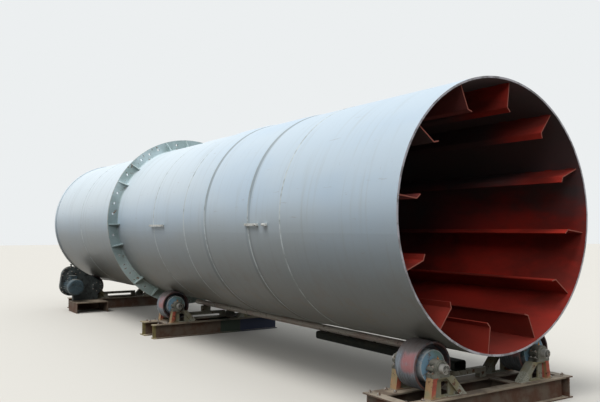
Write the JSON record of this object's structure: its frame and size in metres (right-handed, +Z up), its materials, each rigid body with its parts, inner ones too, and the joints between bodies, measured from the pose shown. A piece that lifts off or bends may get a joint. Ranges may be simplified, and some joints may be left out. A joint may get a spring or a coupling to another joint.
{
  "type": "rotary drum dryer",
  "caption": "Long open-ended steel dryer drum with inner lifting flights and a drilled gear flange, lying on low roller stands.",
  "frame": {"origin": "on the floor below the middle of the drum's length, under its axis", "axes": "+X along the drum's axis towards the near mouth, +Z up, +Y to the right as seen from in front of the near mouth"},
  "size_m": [10.5, 2.708, 3.054],
  "materials": {
    "shell_paint": "semi-matt blue-grey paint, weathered; red-oxide primer inside",
    "flight_primer": "matt red-oxide primer, dusty",
    "flange_paint": "semi-matt grey-green paint, weathered",
    "clip_steel": "matt grey paint over bare steel",
    "roller_steel": "worn turned steel with old red paint",
    "bearing_iron": "greasy dark cast iron",
    "pedestal_paint": "matt orange-brown paint, rusty",
    "beam_paint": "matt brown-grey paint, rusty and dusty",
    "tie_paint": "matt dark grey paint, dusty",
    "spine_steel": "matt grey paint, dusty",
    "pipe_steel": "matt grey paint, dusty",
    "case_paint": "semi-matt dark grey paint, oily",
    "motor_paint": "semi-matt dark blue-grey paint"
  },
  "bodies": {
    "stands": {"near_bearings": "bearing_iron", "near_pedestals": "pedestal_paint", "near_base_beams": "beam_paint", "near_base_ties": "tie_paint", "middle_bearings": "bearing_iron", "middle_pedestals": "pedestal_paint", "middle_base_beams": "beam_paint", "middle_base_ties": "tie_paint", "far_bearings": "bearing_iron", "far_pedestals": "pedestal_paint", "far_base_beams": "beam_paint", "far_base_ties": "tie_paint", "cross_bars": "tie_paint", "spine_tube": "spine_steel", "spacer_pipe": "pipe_steel", "drive_gear_case": "case_paint", "drive_motor": "motor_paint", "drive_plinth": "beam_paint"},
    "drum": {"shell_segment_1": "shell_paint", "shell_segment_2": "shell_paint", "shell_segment_3": "shell_paint", "shell_segment_4": "shell_paint", "shell_segment_5": "shell_paint", "shell_segment_6": "shell_paint", "flight_01": "flight_primer", "flight_02": "flight_primer", "flight_03": "flight_primer", "flight_04": "flight_primer", "flight_05": "flight_primer", "flight_06": "flight_primer", "flight_07": "flight_primer", "flight_08": "flight_primer", "flight_09": "flight_primer", "flight_10": "flight_primer", "flight_11": "flight_primer", "flight_12": "flight_primer", "girth_flange": "flange_paint", "flange_gussets": "flange_paint", "shell_clips": "clip_steel"},
    "near_left_roller": {"near_left_roller": "roller_steel"},
    "near_right_roller": {"near_right_roller": "roller_steel"},
    "middle_left_roller": {"middle_left_roller": "roller_steel"},
    "middle_right_roller": {"middle_right_roller": "roller_steel"},
    "far_left_roller": {"far_left_roller": "roller_steel"},
    "far_right_roller": {"far_right_roller": "roller_steel"}
  },
  "joints": [
    {"name": "drum_spin", "type": "hinge", "parent": "stands", "child": "drum", "pos_m": [0, 0, 1.70002], "axis": [1, 0, 0], "continuous": true},
    {"name": "near_left_roller_spin", "type": "hinge", "parent": "stands", "child": "near_left_roller", "pos_m": [4.93, -0.63845, 0.447], "axis": [1, 0, 0], "continuous": true},
    {"name": "near_right_roller_spin", "type": "hinge", "parent": "stands", "child": "near_right_roller", "pos_m": [4.93, 0.63845, 0.447], "axis": [1, 0, 0], "continuous": true},
    {"name": "middle_left_roller_spin", "type": "hinge", "parent": "stands", "child": "middle_left_roller", "pos_m": [-0.44, -0.63845, 0.447], "axis": [1, 0, 0], "continuous": true},
    {"name": "middle_right_roller_spin", "type": "hinge", "parent": "stands", "child": "middle_right_roller", "pos_m": [-0.44, 0.63845, 0.447], "axis": [1, 0, 0], "continuous": true},
    {"name": "far_left_roller_spin", "type": "hinge", "parent": "stands", "child": "far_left_roller", "pos_m": [-4.6, -0.63845, 0.447], "axis": [1, 0, 0], "continuous": true},
    {"name": "far_right_roller_spin", "type": "hinge", "parent": "stands", "child": "far_right_roller", "pos_m": [-4.6, 0.63845, 0.447], "axis": [1, 0, 0], "continuous": true}
  ],
  "couplings": [
    {"joint": "near_left_roller_spin", "follows": "drum_spin", "ratio": -5.8252},
    {"joint": "near_right_roller_spin", "follows": "drum_spin", "ratio": -5.8252},
    {"joint": "middle_left_roller_spin", "follows": "drum_spin", "ratio": -5.8252},
    {"joint": "middle_right_roller_spin", "follows": "drum_spin", "ratio": -5.8252},
    {"joint": "far_left_roller_spin", "follows": "drum_spin", "ratio": -5.8252},
    {"joint": "far_right_roller_spin", "follows": "drum_spin", "ratio": -5.8252}
  ]
}
